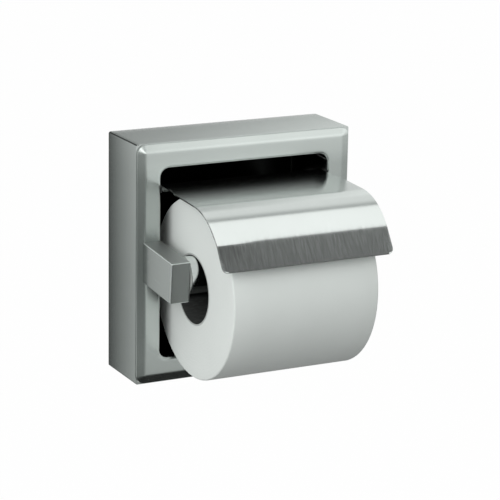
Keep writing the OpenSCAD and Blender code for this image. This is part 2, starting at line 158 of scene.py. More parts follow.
class NodeBench(Graph):
    """Builds one material: a surface shader, a running colour and roughness, and their patterns."""

    def __init__(self, name: str) -> None:
        """Starts a material of the given name with a surface shader and an output."""
        self.material = bpy.data.materials.new(name)
        self.material.use_nodes = True
        super().__init__(self.material.node_tree)
        self.tree.nodes.clear()
        self.surface = self.add("ShaderNodeBsdfPrincipled")
        self.output = self.add("ShaderNodeOutputMaterial", Surface=self.surface.outputs["BSDF"])
        self.colour: Socket | None = None
        self.rough: Socket | None = None

    def noise(self, scale: float | Triple, detail: float, rough: float = 0.5, grain: bool = False) -> Socket:
        """Adds a noise pattern.

        Args:
            scale: pattern units per metre, for all axes or for each.
            detail: number of finer layers.
            rough: strength of the finer layers.
            grain: True for the piece's grain map, False for Object coordinates.

        Returns:
            The pattern's value.
        """
        place = self.coordinate("Object")
        if grain:
            place = self.add("ShaderNodeUVMap", {"uv_map": GRAIN}).outputs[0]
        if isinstance(scale, tuple):
            place, scale = self.add("ShaderNodeMapping", Vector=place, Scale=scale).outputs[0], 1.0
        values = {"Vector": place, "Scale": scale, "Detail": detail, "Roughness": rough}
        return self.add("ShaderNodeTexNoise", **values).outputs[0]

    def tint(self, value: Socket, first: Triple, second: Triple) -> Socket:
        """Mixes two colours by a value.

        Args:
            value: mixing value, 0 for the first colour.
            first: first colour.
            second: second colour.

        Returns:
            The mixed colour.
        """
        return self.add("ShaderNodeMix", {"data_type": "RGBA"}, Factor=value, A=(*first, 1.0),
                        B=(*second, 1.0)).outputs[2]

    def ramp(self, value: Socket, stops: Stops) -> Socket:
        """Grades a grey along an axis.

        Args:
            value: place along the axis, in metres.
            stops: places and levels.

        Returns:
            The graded colour.
        """
        low, high = stops[0][0], stops[-1][0]
        node = self.add("ShaderNodeValToRGB", Fac=self.spread(value, 0.0, 1.0, low, high))
        bar = node.color_ramp.elements
        bar.remove(bar[1])
        bar[0].position = 0.0
        bar[0].color = (*grey(stops[0][1]), 1.0)
        for spot, level in stops[1:]:
            bar.new((spot - low) / (high - low)).color = (*grey(level), 1.0)
        return node.outputs["Color"]

    def product(self, first: Socket, second: Socket) -> Socket:
        """Multiplies two colours."""
        settings = {"data_type": "RGBA", "blend_type": "MULTIPLY"}
        return self.add("ShaderNodeMix", settings, Factor=1.0, A=first, B=second).outputs[2]

    def shade(self, level: Socket) -> None:
        """Scales the running colour by a level, where 0 makes it black."""
        self.colour = self.vector("SCALE", "Vector", Vector=self.colour, Scale=level)

    def roughen(self, least: Socket) -> None:
        """Raises the running roughness to a least value."""
        self.rough = self.math("MAXIMUM", self.rough, least)

    def relief(self, height: Socket, strength: float, depth: float) -> Socket:
        """Adds fine relief.

        Args:
            height: height pattern.
            strength: how much of the relief shows.
            depth: height of the relief in metres.

        Returns:
            The normal for the surface shader.
        """
        return self.add("ShaderNodeBump", Strength=strength, Distance=depth, Height=height).outputs["Normal"]

    def finish(self, **values: object) -> Material:
        """Feeds the surface shader.

        Args:
            values: sockets or values by input name; underscores stand for spaces. The running colour
                and roughness are used unless they are given.

        Returns:
            The material.
        """
        for key, value in {"Base_Color": self.colour, "Roughness": self.rough, **values}.items():
            self.feed(self.surface.inputs[key.replace("_", " ")], value)
        return self.material


def grey(level: float) -> Triple:
    """Gives the faintly green grey of the photographed steel, greener where it is dark."""
    dark = 1.0 - min(level, 1.0)
    return (level * (RED_SHARE - RED_LOSS * dark), level, level * (BLUE_SHARE - BLUE_LOSS * dark))


def dimmed(colour: Triple, *shares: float) -> Triple:
    """Scales a colour's channels, each by its own share, or all by one share."""
    return tuple(channel * share for channel, share in zip(colour, shares * 3))


# Finishes, with places and widths in metres


class Mark:
    """A place where a finish looks different: mostly painted light or shade, and the lip's brush streaks."""

    def lay(self, bench: NodeBench) -> None:
        """Changes the bench's running colour, and its roughness where the mark has one."""


@dataclass(frozen=True)
class RecessShade(Mark):
    """Painted shade on the walls of the recess, which face its middle."""

    level: float = 0.02
    depth: float = 0.0455
    start: float = 0.004
    soft: float = 0.02

    def lay(self, bench: NodeBench) -> None:
        """Lays the mark.

        Args:
            bench: the steel's bench.
        """
        # Painted shade: faces inside the recess that face its middle go near black beyond the first few
        # millimetres.
        spot, way = bench.parts("Object"), bench.parts("Normal")
        outward = bench.math("MULTIPLY_ADD", way["X"], spot["X"], bench.math("MULTIPLY", way["Z"], spot["Z"]))
        outward = bench.math("MULTIPLY_ADD", way["Y"], self.depth, outward)
        inner = bench.spread(outward, 1.0, 0.0, -self.soft, 0.0)
        deep = bench.spread(spot["Y"], 0.0, self.level - 1.0, -self.depth, self.start - self.depth)
        bench.shade(bench.math("MULTIPLY_ADD", inner, deep, 1.0))


@dataclass(frozen=True)
class PaintedReflectionLevels(Mark):
    """Painted reflection: lighter and darker levels graded from the bottom to the top."""

    stops: Stops = ((-0.083, 1.18), (-0.067, 1.17), (-0.045, 1.0), (0.0, 0.8), (0.058, 0.76), (0.067, 0.9),
                    (0.083, 1.0))

    def lay(self, bench: NodeBench) -> None:
        """Lays the mark on the bench's running colour."""
        bench.colour = bench.product(bench.colour, bench.ramp(bench.parts("Object")["Z"], self.stops))


@dataclass(frozen=True)
class PaintedShadePatch(Mark):
    """Painted shade: a darker place, lighter for a level above one, on both sides of the middle or on both
    ends.
    """

    source: str
    axis: str
    level: float
    span: Span

    def lay(self, bench: NodeBench) -> None:
        """Lays the mark: it grows from one distance of its coordinate from zero to the other."""
        away = bench.math("ABSOLUTE", bench.parts(self.source)[self.axis])
        bench.shade(bench.spread(away, 1.0, self.level, *self.span))


@dataclass(frozen=True)
class Lip(Mark):
    """Streaks on the hood's flat lip, and painted shade on faces that look forward and down, mainly the lip's
    cut edge.
    """

    streaks: float = 0.14
    width: float = 0.0009
    length: float = 0.01
    facing: Span = (-0.825, -0.78)
    pattern: Span = (0.35, 0.65)
    edge_shade_level: float = 0.18
    under: Span = (-0.35, -0.15)

    def lay(self, bench: NodeBench) -> None:
        """Lays the mark.

        Args:
            bench: the steel's bench.
        """
        way = bench.parts("Normal")
        front = bench.spread(way["Y"], 1.0, 0.0, *self.facing)
        scale = (1.0 / self.width, 1.0 / self.length, 1.0 / self.length)
        scratches = bench.noise(scale, detail=2.0, rough=0.6)
        streak = bench.spread(scratches, -self.streaks, self.streaks, *self.pattern)
        bench.shade(bench.math("MULTIPLY_ADD", front, streak, 1.0))
        # Painted shade on faces that look forward and down.
        down = bench.math("MAXIMUM", way["Y"], way["Z"])
        bench.shade(bench.spread(down, self.edge_shade_level, 1.0, *self.under))


@dataclass(frozen=True)
class PaintedEdgeLightAndTopShade(Mark):
    """Painted highlights on the rounded edges and painted shade on the rougher tops of the two bars, in the
    tilted frame of their front ends.
    """

    middle: float = 0.068
    half: float = 0.007
    tall: float = 0.0139
    depth: float = 0.0775
    reach: float = 0.013
    tilt: float = 4.4
    near: Span = (0.0008, 0.0003)
    level: float = 1.6
    roughness: float = 0.7
    two_faces: Span = (1.3, 1.9)
    top_shade_level: float = 0.72
    top_roughness: float = 0.5
    top_facing: Span = (0.97, 0.99)
    one_face: Span = (1.0, 1.5)

    def lay(self, bench: NodeBench) -> None:
        """Lays the mark: an edge is where two or more faces are near.

        Args:
            bench: the steel's bench.
        """
        spot = bench.parts("Object")
        sine, cosine = math.sin(math.radians(self.tilt)), math.cos(math.radians(self.tilt))
        side = bench.math("SUBTRACT", bench.math("ABSOLUTE", spot["X"]), self.middle)
        out = bench.math("ADD", spot["Y"], self.depth)
        up = bench.math("MULTIPLY_ADD", out, -sine, bench.math("MULTIPLY", spot["Z"], cosine))
        front = bench.math("MULTIPLY_ADD", out, -cosine, bench.math("MULTIPLY", spot["Z"], -sine))
        side, up = bench.math("ABSOLUTE", side), bench.math("ABSOLUTE", up)
        faces = 0.0
        for place, limit in ((side, self.half), (up, self.tall), (front, self.reach)):
            start, end = (limit - inset for inset in self.near)
            faces = bench.math("ADD", bench.spread(place, 0.0, 1.0, start, end), faces)
        # Painted highlight where two faces meet; these edges are also rougher.
        bench.shade(bench.spread(faces, 1.0, self.level, *self.two_faces))
        bench.roughen(bench.spread(faces, 0.0, self.roughness, *self.two_faces))
        # Painted shade on the tops, which are also rougher.
        top = bench.spread(bench.parts("Normal")["Z"], 0.0, 1.0, *self.top_facing)
        flat = bench.math("MULTIPLY", top, bench.spread(faces, 1.0, 0.0, *self.one_face))
        bench.roughen(bench.math("MULTIPLY", flat, self.top_roughness))
        bench.shade(bench.math("MULTIPLY_ADD", flat, self.top_shade_level - 1.0, 1.0))


@dataclass(frozen=True)
class SeamShade(Mark):
    """Painted shade in the seam at the collar's top left corner."""

    x: float = -0.0787
    z: float = 0.0817
    soft: float = 0.0002
    level: float = 0.04

    def lay(self, bench: NodeBench) -> None:
        """Lays the mark.

        Args:
            bench: the steel's bench.
        """
        spot = bench.parts("Object")
        left = bench.spread(spot["X"], 1.0, 0.0, self.x - self.soft, self.x + self.soft)
        above = bench.spread(spot["Z"], 0.0, 1.0, self.z - self.soft, self.z + self.soft)
        bench.shade(bench.spread(bench.math("MULTIPLY", left, above), 1.0, self.level, 0.0, 1.0))


@dataclass(frozen=True)
class BrushedSteel:
    """Satin stainless steel with fine brush lines."""

    name: str
    level: float = 0.7
    roughness: float = 0.25
    rough_shares: Span = (0.9, 1.1)
    stretch: float = 0.0
    uses_grain: bool = True
    line_width: float = 0.00022
    line_length: float = 0.02
    line_depth: float = 0.0000004
    line_relief: float = 0.35
    contrast: float = 0.012
    cloud_scale: float = 28.0
    cloud_level: float = 0.97
    marks: tuple[Mark, ...] = ()

    def make(self) -> Material:
        """Builds the material.

        Returns:
            The material.
        """
        bench = NodeBench(self.name)
        across, along = 1.0 / self.line_width, 1.0 / self.line_length
        scale = (across, along, along if self.uses_grain else across)
        lines = bench.noise(scale, detail=3.0, rough=0.65, grain=self.uses_grain)
        dark, light = grey(self.level * (1.0 - self.contrast)), grey(self.level * (1.0 + self.contrast / 2))
        cloud = bench.spread(bench.noise(self.cloud_scale, detail=2.0))
        cloud = bench.tint(cloud, grey(self.cloud_level), grey(1.0))
        bench.colour = bench.product(bench.tint(bench.spread(lines), dark, light), cloud)
        bench.rough = bench.spread(lines, *(self.roughness * share for share in self.rough_shares))
        for mark in self.marks:
            mark.lay(bench)
        if self.stretch:
            tangent = bench.add("ShaderNodeTangent", {"direction_type": "UV_MAP", "uv_map": GRAIN})
            bench.feed(bench.surface.inputs["Tangent"], tangent.outputs["Tangent"])
        normal = bench.relief(lines, self.line_relief, self.line_depth)
        return bench.finish(Normal=normal, Metallic=1.0, Anisotropic=self.stretch)


@dataclass(frozen=True)
class PlatedMetal:
    """Smooth or lightly clouded plating: bright steel, zinc."""

    name: str
    colour: Triple
    roughness: float
    rough_shares: Span = (0.75, 1.3)
    dark_share: float = 0.9
    cloud_scale: float = 300.0
    fine_scale: float = 2400.0
    relief_depth: float = 0.000004
    marks: tuple[Mark, ...] = ()

    def make(self) -> Material:
        """Builds the material.

        Returns:
            The material.
        """
        bench = NodeBench(self.name)
        cloud, fine = bench.noise(self.cloud_scale, detail=4.0), bench.noise(self.fine_scale, detail=2.0)
        bench.colour = bench.tint(bench.spread(cloud), dimmed(self.colour, self.dark_share), self.colour)
        bench.rough = bench.spread(cloud, *(self.roughness * share for share in self.rough_shares))
        # Marks paint shade into the colour, which also tints the specular reflection.
        for mark in self.marks:
            mark.lay(bench)
            bench.finish(Specular_Tint=bench.colour)
        return bench.finish(Normal=bench.relief(fine, strength=0.2, depth=self.relief_depth), Metallic=1.0)


@dataclass(frozen=True)
class MouldedNylon:
    """Moulded plastic, slightly warmer in its clouds."""

    name: str
    colour: Triple
    warm_shares: Triple = (0.95, 0.94, 0.9)
    roughness: Span = (0.38, 0.5)
    skin_scale: float = 2200.0
    cloud_scale: float = 120.0
    relief_depth: float = 0.00002

    def make(self) -> Material:
        """Builds the material.

        Returns:
            The material.
        """
        bench = NodeBench(self.name)
        skin, cloud = bench.noise(self.skin_scale, detail=3.0), bench.noise(self.cloud_scale, detail=2.0)
        bench.colour = bench.tint(bench.spread(cloud), dimmed(self.colour, *self.warm_shares), self.colour)
        bench.rough = bench.spread(skin, *self.roughness)
        return bench.finish(Normal=bench.relief(skin, strength=0.3, depth=self.relief_depth))


@dataclass(frozen=True)
class WoundBoard:
    """Grey cardboard of the core, with painted shade: lighter at its ends, dark inside and darkest above the
    roller, where a painted shadow of the roller falls.
    """

    name: str
    # Dark board colours: painted shade of the core's inside; the end faces are lifted by end_level.
    dark: Triple = (0.0645, 0.068, 0.066)
    light: Triple = (0.106, 0.1115, 0.1085)
    fleck: Triple = (0.7, 0.68, 0.64)
    fibre_scale: Triple = (260.0, 900.0, 900.0)
    fleck_scale: float = 1400.0
    # Painted shade, darkest in the middle of the core's length.
    inside: Mark = PaintedShadePatch("Object", "X", 0.08, (0.0388, 0.0188))
    end_facing: Span = (0.8, 0.9)
    end_level: float = 5.8
    roller_shadow_span: Span = (-0.0232, -0.0207)
    roller_shadow_level: float = 0.1
    relief_depth: float = 0.00006

    def make(self) -> Material:
        """Builds the material.

        Returns:
            The material.
        """
        bench = NodeBench(self.name)
        fibre = bench.noise(self.fibre_scale, detail=4.0, rough=0.6)
        flecks = bench.spread(bench.noise(self.fleck_scale, detail=2.0), start=0.2, end=0.4)
        board = bench.tint(bench.spread(fibre), self.dark, self.light)
        bench.colour = bench.product(board, bench.tint(flecks, self.fleck, WHITE))
        self.inside.lay(bench)
        # Painted shadow of the roller on the upper inside; end faces are lifted out of the painted shade.
        ends = bench.math("ABSOLUTE", bench.parts("Normal")["X"])
        shadow_above = bench.spread(bench.parts("Object")["Z"], 1.0, self.roller_shadow_level, *self.roller_shadow_span)
        bench.shade(bench.math("MAXIMUM", shadow_above, bench.spread(ends, 0.0, self.end_level, *self.end_facing)))
        normal = bench.relief(fibre, strength=0.5, depth=self.relief_depth)
        return bench.finish(Normal=normal, Roughness=0.85, Specular_IOR_Level=0.1)


@dataclass(frozen=True)
class TissuePaper:
    """Soft white paper with faint embossing."""

    name: str
    colour: Triple = (0.79, 0.828, 0.806)
    soft_level: float = 0.965
    soft_scale: float = 26.0
    fibre_scale: float = 900.0
    emboss: float = 0.0042
    uneven: float = 0.35
    emboss_share: float = 0.8
    relief_depth: float = 0.00008

    def make(self) -> Material:
        """Builds the material.

        Returns:
            The material.
        """
        bench = NodeBench(self.name)
        fibre = bench.noise(self.fibre_scale, detail=5.0, rough=0.6)
        soft = bench.noise(self.soft_scale, detail=3.0)
        dots = bench.add("ShaderNodeTexVoronoi", {"feature": "SMOOTH_F1"}, Vector=bench.coordinate("Object"),
                         Scale=1.0 / self.emboss, Randomness=self.uneven)
        bench.colour = bench.tint(bench.spread(soft), dimmed(self.colour, self.soft_level), self.colour)
        height = bench.math("MULTIPLY_ADD", dots.outputs["Distance"], self.emboss_share, fibre)
        normal = bench.relief(height, strength=0.35, depth=self.relief_depth)
        return bench.finish(Normal=normal, Roughness=0.92, Sheen_Weight=0.15, Sheen_Roughness=0.5,
                            Specular_IOR_Level=0.2)


class Finishes:
    """The holder's finishes, made once and shared."""

    def __init__(self) -> None:
        """Makes all materials."""
        # The pan carries painted shade in its recess and a painted reflection graded by height.
        self.pan = BrushedSteel("steel_pan", roughness=0.23, marks=(RecessShade(), PaintedReflectionLevels())).make()
        # Hood: painted shade on the sheet's cut sides and on its edges that look forward and down.
        self.hood = BrushedSteel(
            "steel_hood", level=0.76, stretch=0.7, roughness=0.17, line_width=0.0004, line_length=0.01,
            line_depth=0.00000025, contrast=0.03, marks=(PaintedShadePatch("Normal", "X", 0.6, ENDS), Lip())).make()
        # Collar: painted shade in its top left seam.
        self.collar = BrushedSteel("steel_collar", uses_grain=False, roughness=0.24, marks=(SeamShade(),)).make()
        # Bars: painted shade on the faces that look along Y, painted highlights on their edges and painted
        # shade on their tops.
        self.bar = BrushedSteel(
            "steel_post", uses_grain=False, level=0.61,
            marks=(PaintedShadePatch("Normal", "Y", 0.42, ENDS), PaintedEdgeLightAndTopShade())).make()
        # Painted shade on the roller's tubes where they run deep inside the roll.
        inside = PaintedShadePatch("Object", "X", 0.03, (0.046, 0.041))
        self.bright = PlatedMetal("bright_tube", (0.87, 0.89, 0.88), 0.12, marks=(inside,)).make()
        # Darker steel for the hinge rod: painted shade of the recess it sits in.
        self.rod = PlatedMetal("rod_steel_painted_shade", (0.3, 0.31, 0.305), 0.3).make()
        self.zinc = PlatedMetal("zinc_plate", (0.5, 0.52, 0.53), 0.35).make()
        self.nylon = MouldedNylon("moulded_nylon", (0.5, 0.52, 0.51)).make()
        # Near-black nylon: black plastic that also stands in for the shade of the recess round the hinge
        # bushes; the post bushes use it too.
        self.dark_nylon = MouldedNylon("dark_nylon", (0.012, 0.013, 0.013)).make()
        self.board = WoundBoard("core_board").make()
        self.tissue = TissuePaper("tissue").make()
        # Darker paper for the wound edges: painted shade between the turns.
        self.tissue_winding_shade = TissuePaper("tissue_winding_shade", colour=(0.7, 0.73, 0.712)).make()


# Meshes


def show(name: str, data: bpy.types.ID) -> Thing:
    """Makes an object of some data and puts it in the scene."""
    item = bpy.data.objects.new(name, data)
    bpy.context.scene.collection.objects.link(item)
    return item


@dataclass(frozen=True)
class Piece:
    """What this script builds: a name, body, slot, angle of sharp edges and the node it stands in for."""

    name: str
    body: str
    slot: Slot
    sharp: float
    replaces: str = ""

    def settle(self, mesh: bpy.types.Mesh, material: Material, apart: float,
               close: Closing | None = None) -> None:
        """Joins points that meet, turns the faces outwards, shades them, puts the piece on its body, hides
        the node it stands in for and reports it.

        Args:
            mesh: the mesh, in metres.
            material: its material.
            apart: greatest distance between points that are joined.
            close: adds what the mesh lacks once its points are joined.
        """
        work = bmesh.new()
        work.from_mesh(mesh)
        bmesh.ops.remove_doubles(work, verts=work.verts, dist=apart)
        if close:
            close(work)
        bmesh.ops.recalc_face_normals(work, faces=work.faces)
        work.to_mesh(mesh)
        work.free()
        mesh.materials.clear()
        mesh.materials.append(material)
        mesh.polygons.foreach_set("use_smooth", [True] * len(mesh.polygons))
        mesh.set_sharp_from_angle(angle=math.radians(self.sharp))
        item = show(self.name, mesh)
        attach(item, self.body)
        if self.replaces:
            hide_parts(self.replaces)
        LOG.info("built %s with %d faces", self.name, len(mesh.polygons))


class Draft:
    """Points, faces and grain coordinates of one piece, in millimetres, before it is an object."""

    def __init__(self) -> None:
        """Starts an empty draft."""
        self.points: list[np.ndarray] = []
        self.faces: list[tuple[int, ...]] = []
        self.grain: list[Span] = []
        self.count = 0

    def grid(self, rows: np.ndarray, wrap: bool = False, grain: np.ndarray | None = None) -> None:
        """Adds a grid of quads.

        Args:
            rows: points, shaped rows by columns by 3.
            wrap: True joins the last column to the first.
            grain: coordinates for each point of a grid that isn't wrapped.
        """
        count, width = rows.shape[:2]
        start = self.count
        self.points.append(rows.reshape(-1, 3))
        self.count += count * width
        for i in range(count - 1):
            for j in range(width if wrap else width - 1):
                k = (j + 1) % width
                corners = [(i, j), (i, k), (i + 1, k), (i + 1, j)]
                self.faces.append(tuple(start + a * width + b for a, b in corners))
                self.grain.extend((0.0, 0.0) if grain is None else tuple(grain[corner]) for corner in corners)

    def build(self, piece: Piece, material: Material, close: Closing | None = None) -> None:
        """Turns the draft into a piece at the origin, in metres.

        Args:
            piece: what it becomes.
            material: its material.
            close: adds what the draft lacks once its points are joined.
        """
        mesh = bpy.data.meshes.new(piece.name)
        mesh.from_pydata((np.concatenate(self.points) * MM).tolist(), [], self.faces)
        layer = mesh.uv_layers.new(name=GRAIN)
        layer.data.foreach_set("uv", [value * MM for corner in self.grain for value in corner])
        piece.settle(mesh, material, WELD, close)


def arc(centre: Span, radius: float, start: float, end: float, steps: int) -> list[Span]:
    """Gives points on an arc.

    Args:
        centre: centre of the arc.
        radius: its radius.
        start: start angle in degrees.
        end: end angle in degrees.
        steps: number of spans.

    Returns:
        The points, both ends included.
    """
    angles = np.radians(np.linspace(start, end, steps + 1))
    return [(centre[0] + radius * math.cos(a), centre[1] + radius * math.sin(a)) for a in angles]


def round_ring(width: float, height: float, radius: float, depth: float) -> np.ndarray:
    """Gives a rectangle with round corners, upright, at a depth from the wall.

    Args:
        width: its width.
        height: its height.
        radius: radius of its corners.
        depth: distance from the wall.

    Returns:
        The ring's points.
    """
    corner_spans, side_spans = 10, 12
    corners = []
    for sx, sz, turn in ((1, 1, 0), (-1, 1, 90), (-1, -1, 180), (1, -1, 270)):
        centre = (sx * (width / 2 - radius), sz * (height / 2 - radius))
        corners.append(arc(centre, radius, turn, turn + 90, corner_spans))
    ring = []
    for corner, after in zip(corners, corners[1:] + corners[:1]):
        ring += [*corner, *np.linspace(corner[-1], after[0], side_spans + 1)[1:-1]]
    return np.array([(x, -depth, z) for x, z in ring])


def dress(names: tuple[str, ...], material: Material) -> None:
    """Gives CAD nodes their finish, and reports them.

    Args:
        names: the nodes.
        material: their finish.
    """
    for name in names:
        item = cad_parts[name]
        item.data.materials.clear()
        item.data.materials.append(material)
        LOG.info("dressed %s with %s", name, material.name)


class Growth(Graph):
    """Builds one Geometry Nodes tree and bakes what it grows into a plain mesh."""

    def __init__(self, name: str) -> None:
        """Starts a tree of the given name with one geometry output."""
        super().__init__(bpy.data.node_groups.new(name, "GeometryNodeTree"))
        self.tree.interface.new_socket("Geometry", in_out="OUTPUT", socket_type="NodeSocketGeometry")
        self.entry = self.add("NodeGroupInput")
        self.values: dict[str, float] = {}

    def size(self, name: str, value: float) -> Socket:
        """Adds a named input.

        Args:
            name: name of the input.
            value: its value, set on the modifier by the socket's identifier.

        Returns:
            The socket to read.
        """
        socket = self.tree.interface.new_socket(name, in_out="INPUT", socket_type="NodeSocketFloat")
        self.values[socket.identifier] = value
        return next(out for out in self.entry.outputs if out.identifier == socket.identifier)

    def lengths(self, **values: float) -> list[Socket]:
        """Adds an input for each length in millimetres; underscores in a name stand for spaces."""
        return [self.size(name.replace("_", " "), value * MM) for name, value in values.items()]

    def spot(self, x: object, y: object, z: object) -> Socket:
        """Joins three sockets or numbers into a vector."""
        return self.add("ShaderNodeCombineXYZ", X=x, Y=y, Z=z).outputs[0]

    def here(self) -> bpy.types.bpy_prop_collection:
        """Gives the X, Y and Z outputs of the place of each point."""
        return self.split(self.add("GeometryNodeInputPosition").outputs[0])

    def shape(self, kind: str, settings: dict[str, object] | None = None, **inputs: object) -> Socket:
        """Adds a node as the method add does, and gives its first output."""
        return self.add(kind, settings, **inputs).outputs[0]

    def upright(self, curve: Socket) -> Socket:
        """Keeps the section of a swept curve upright."""
        return self.shape("GeometryNodeSetCurveNormal", {"mode": "Z_UP"}, Curve=curve)

    def band(self, outer: Socket, inner: Socket, height: Socket) -> tuple[Socket, Socket]:
        """Gives what a ring with a rectangular section is swept from.

        Args:
            outer: outer radius.
            inner: inner radius.
            height: height of the section.

        Returns:
            The middle radius and the section.
        """
        section = self.shape("GeometryNodeCurvePrimitiveQuadrilateral",
                             Width=self.math("SUBTRACT", outer, inner), Height=height)
        return self.math("MULTIPLY", self.math("ADD", outer, inner), 0.5), section

    def bake(self, shape: Socket, piece: Piece, material: Material) -> None:
        """Ends the tree, evaluates it and keeps the result as a plain mesh.

        Args:
            shape: the grown geometry.
            piece: what it becomes.
            material: its material.
        """
        whole = self.shape("GeometryNodeRealizeInstances", Geometry=shape)
        done = self.shape("GeometryNodeSetMaterial", Geometry=whole, Material=material)
        self.add("NodeGroupOutput", None, done)
        host = show("host", bpy.data.meshes.new("host"))
        modifier = host.modifiers.new("grow", "NODES")
        modifier.node_group = self.tree
        for identifier, value in self.values.items():
            modifier[identifier] = value
        bpy.context.view_layer.update()
        graph = bpy.context.evaluated_depsgraph_get()
        mesh = bpy.data.meshes.new_from_object(host.evaluated_get(graph))
        host.modifiers.remove(modifier)
        bpy.data.objects.remove(host)
        mesh.name = piece.name
        piece.settle(mesh, material, FINE_WELD)


# Sub-assemblies, with sizes in millimetres and angles in degrees


@dataclass
class Collar:
    """Surface-mounting box, kept as the CAD node."""

    def build(self, finishes: Finishes) -> None:
        """Dresses the collar."""
        dress(("surface_collar",), finishes.collar)


@dataclass
class Hinge:
    """Hood's rod with its bushes and push rings, kept as CAD nodes."""

    def build(self, finishes: Finishes) -> None:
        """Dresses the rod, its bushes and its push rings."""
        dress(("hinge_rod",), finishes.rod)
        dress(("hinge_bushes",), finishes.dark_nylon)
        dress(("push_rings",), finishes.zinc)


@dataclass
class Roller:
    """Sprung roller: two bright tubes with nylon caps and the spring between them, kept as CAD nodes."""

    def build(self, finishes: Finishes) -> None:
        """Dresses the tubes, the caps and the spring."""
        dress(("roller_outer_tube", "roller_inner_tube"), finishes.bright)
        dress(("roller_outer_cap", "roller_inner_cap"), finishes.nylon)
        dress(("roller_spring",), finishes.zinc)


@dataclass
class FrontPan:
    """Flange with its bevel, rolled opening and recess, drawn from one sheet."""

    width: float = 158.2
    height: float = 164.2
    corner: float = 6.0
    least_corner: float = 0.5
    edge_depth: float = 45.0
    edge: float = 0.25
    sheet: float = 1.0
    bevel: float = 5.5
    rise: float = 1.5
    blend: float = 1.1
    land: float = 15.1
    land_corner: float = 8.0
    roll: float = 1.5
    floor_r: float = 4.0
    plain: float = 2.0
    hole_r: float = 2.4
    holes: Span = (51.0, 40.0)
    hole_steps: int = 32
    edge_steps: int = 3
    bevel_shares: tuple[float, ...] = (0.05, 0.24, 0.43, 0.62, 0.81, 1.0)
    bend_steps: int = 6
    land_shares: Triple = (0.12, 0.5, 0.88)
    roll_steps: int = 8
    floor_steps: int = 7
    back_steps: int = 4
    piece: Piece = Piece("front_pan", "frame", Slot.STEEL, 38.0, "recess_pan")

    def front_section(self) -> list[Span]:
        """Gives the section of the seen side as inset from the edge and depth.

        Returns:
            The section, from the edge in to the recess's floor.
        """
        face, slope = self.edge_depth + self.sheet, self.rise / self.bevel
        front, flat, angle = face + self.rise, self.bevel + self.blend, math.atan(slope)
        bend_r = self.blend / math.tan(angle / 2)
        wall, base = self.land + self.roll, self.floor_r + self.sheet
        rounded = arc((self.edge, face - self.edge), self.edge, 180, 90, self.edge_steps)[1:]
        straight = self.edge + (self.bevel - self.blend - self.edge) * np.array(self.bevel_shares)
        return [
            (0.0, self.edge_depth), (0.0, face - self.edge),
            *((inset, depth + slope * inset) for inset, depth in rounded),
            *((inset, face + slope * inset) for inset in straight),
            *arc((flat, front - bend_r), bend_r, 90 + math.degrees(angle), 90, self.bend_steps)[1:],
            *((flat + (self.land - flat) * share, front) for share in self.land_shares),
            *arc((self.land, front - self.roll), self.roll, 90, 0, self.roll_steps),
            (wall, front - self.roll - self.plain), (wall, base + self.plain),
            *arc((wall + self.floor_r, base), self.floor_r, 180, 270, self.floor_steps)]

    def back_section(self) -> list[Span]:
        """Gives the section of the hidden side as inset from the edge and depth.

        Returns:
            The section, from the recess's floor out to the edge.
        """
        back, inner, base = self.edge_depth + self.rise, self.roll - self.sheet, self.floor_r + self.sheet
        return [
            *arc((self.land + self.roll + self.floor_r, base), base, 270, 180, self.floor_steps),
            *arc((self.land, back - inner), inner, 0, 90, self.back_steps),
            (self.bevel, back), (self.sheet, self.edge_depth), (0.0, self.edge_depth)]

    def sweep(self, section: list[Span]) -> np.ndarray:
        """Sweeps a section round the rectangle.

        Args:
            section: insets from the edge and depths.

        Returns:
            Points, a ring for each row of the section.
        """
        insets = (0.0, self.corner - self.least_corner, self.bevel + self.blend, self.land,
                  self.land + self.land_corner)
        corners = (self.corner, self.least_corner, self.least_corner, self.land_corner, 0.0)
        return np.array([round_ring(self.width - 2 * inset, self.height - 2 * inset,
                                    np.interp(inset, insets, corners), depth) for inset, depth in section])

    def floor(self, work: bmesh.types.BMesh) -> None:
        """Closes the recess's back with its four screw holes.

        Args:
            work: the mesh, in metres, open at the back's front and rear rings.
        """
        steps = self.hole_steps
        sides = []
        for depth in (self.sheet, 0.0):
            rings = []
            for sx, sz in ((-1, -1), (-1, 1), (1, -1), (1, 1)):
                spots = arc((sx * self.holes[0], sz * self.holes[1]), self.hole_r, 0.0, 360.0, steps)[:-1]
                rings.append([work.verts.new((x * MM, -depth * MM, z * MM)) for x, z in spots])
            rims = [work.edges.new((ring[i], ring[(i + 1) % steps])) for ring in rings for i in range(steps)]
            outer = [e for e in work.edges
                     if e.is_boundary and all(abs(v.co.y + depth * MM) < ON_PLANE for v in e.verts)]
            bmesh.ops.triangle_fill(work, use_beauty=True, edges=outer + rims, normal=(0.0, -1.0, 0.0))
            sides.append(rings)
        for near, far in zip(*sides):
            for i in range(steps):
                j = (i + 1) % steps
                work.faces.new((near[i], near[j], far[j], far[i]))

    def close(self, work: bmesh.types.BMesh) -> None:
        """Adds the floor, and lays the grain: its lines run up and down, on level faces front to back.

        Args:
            work: the mesh, in metres.
        """
        self.floor(work)
        work.normal_update()
        layer = work.loops.layers.uv[GRAIN]
        for face in work.faces:
            turn = [abs(part) for part in face.normal]
            way = turn.index(max(turn))
            for loop in face.loops:
                x, y, z = loop.vert.co
                loop[layer].uv = ((y, z), (x, z), (x, y))[way]

    def build(self, finishes: Finishes) -> None:
        """Builds the pan.

        Args:
            finishes: the holder's finishes.
        """
        draft = Draft()
        for section in (self.front_section(), self.back_section()):
            draft.grid(self.sweep(section), wrap=True)
        draft.build(self.piece, finishes.pan, self.close)


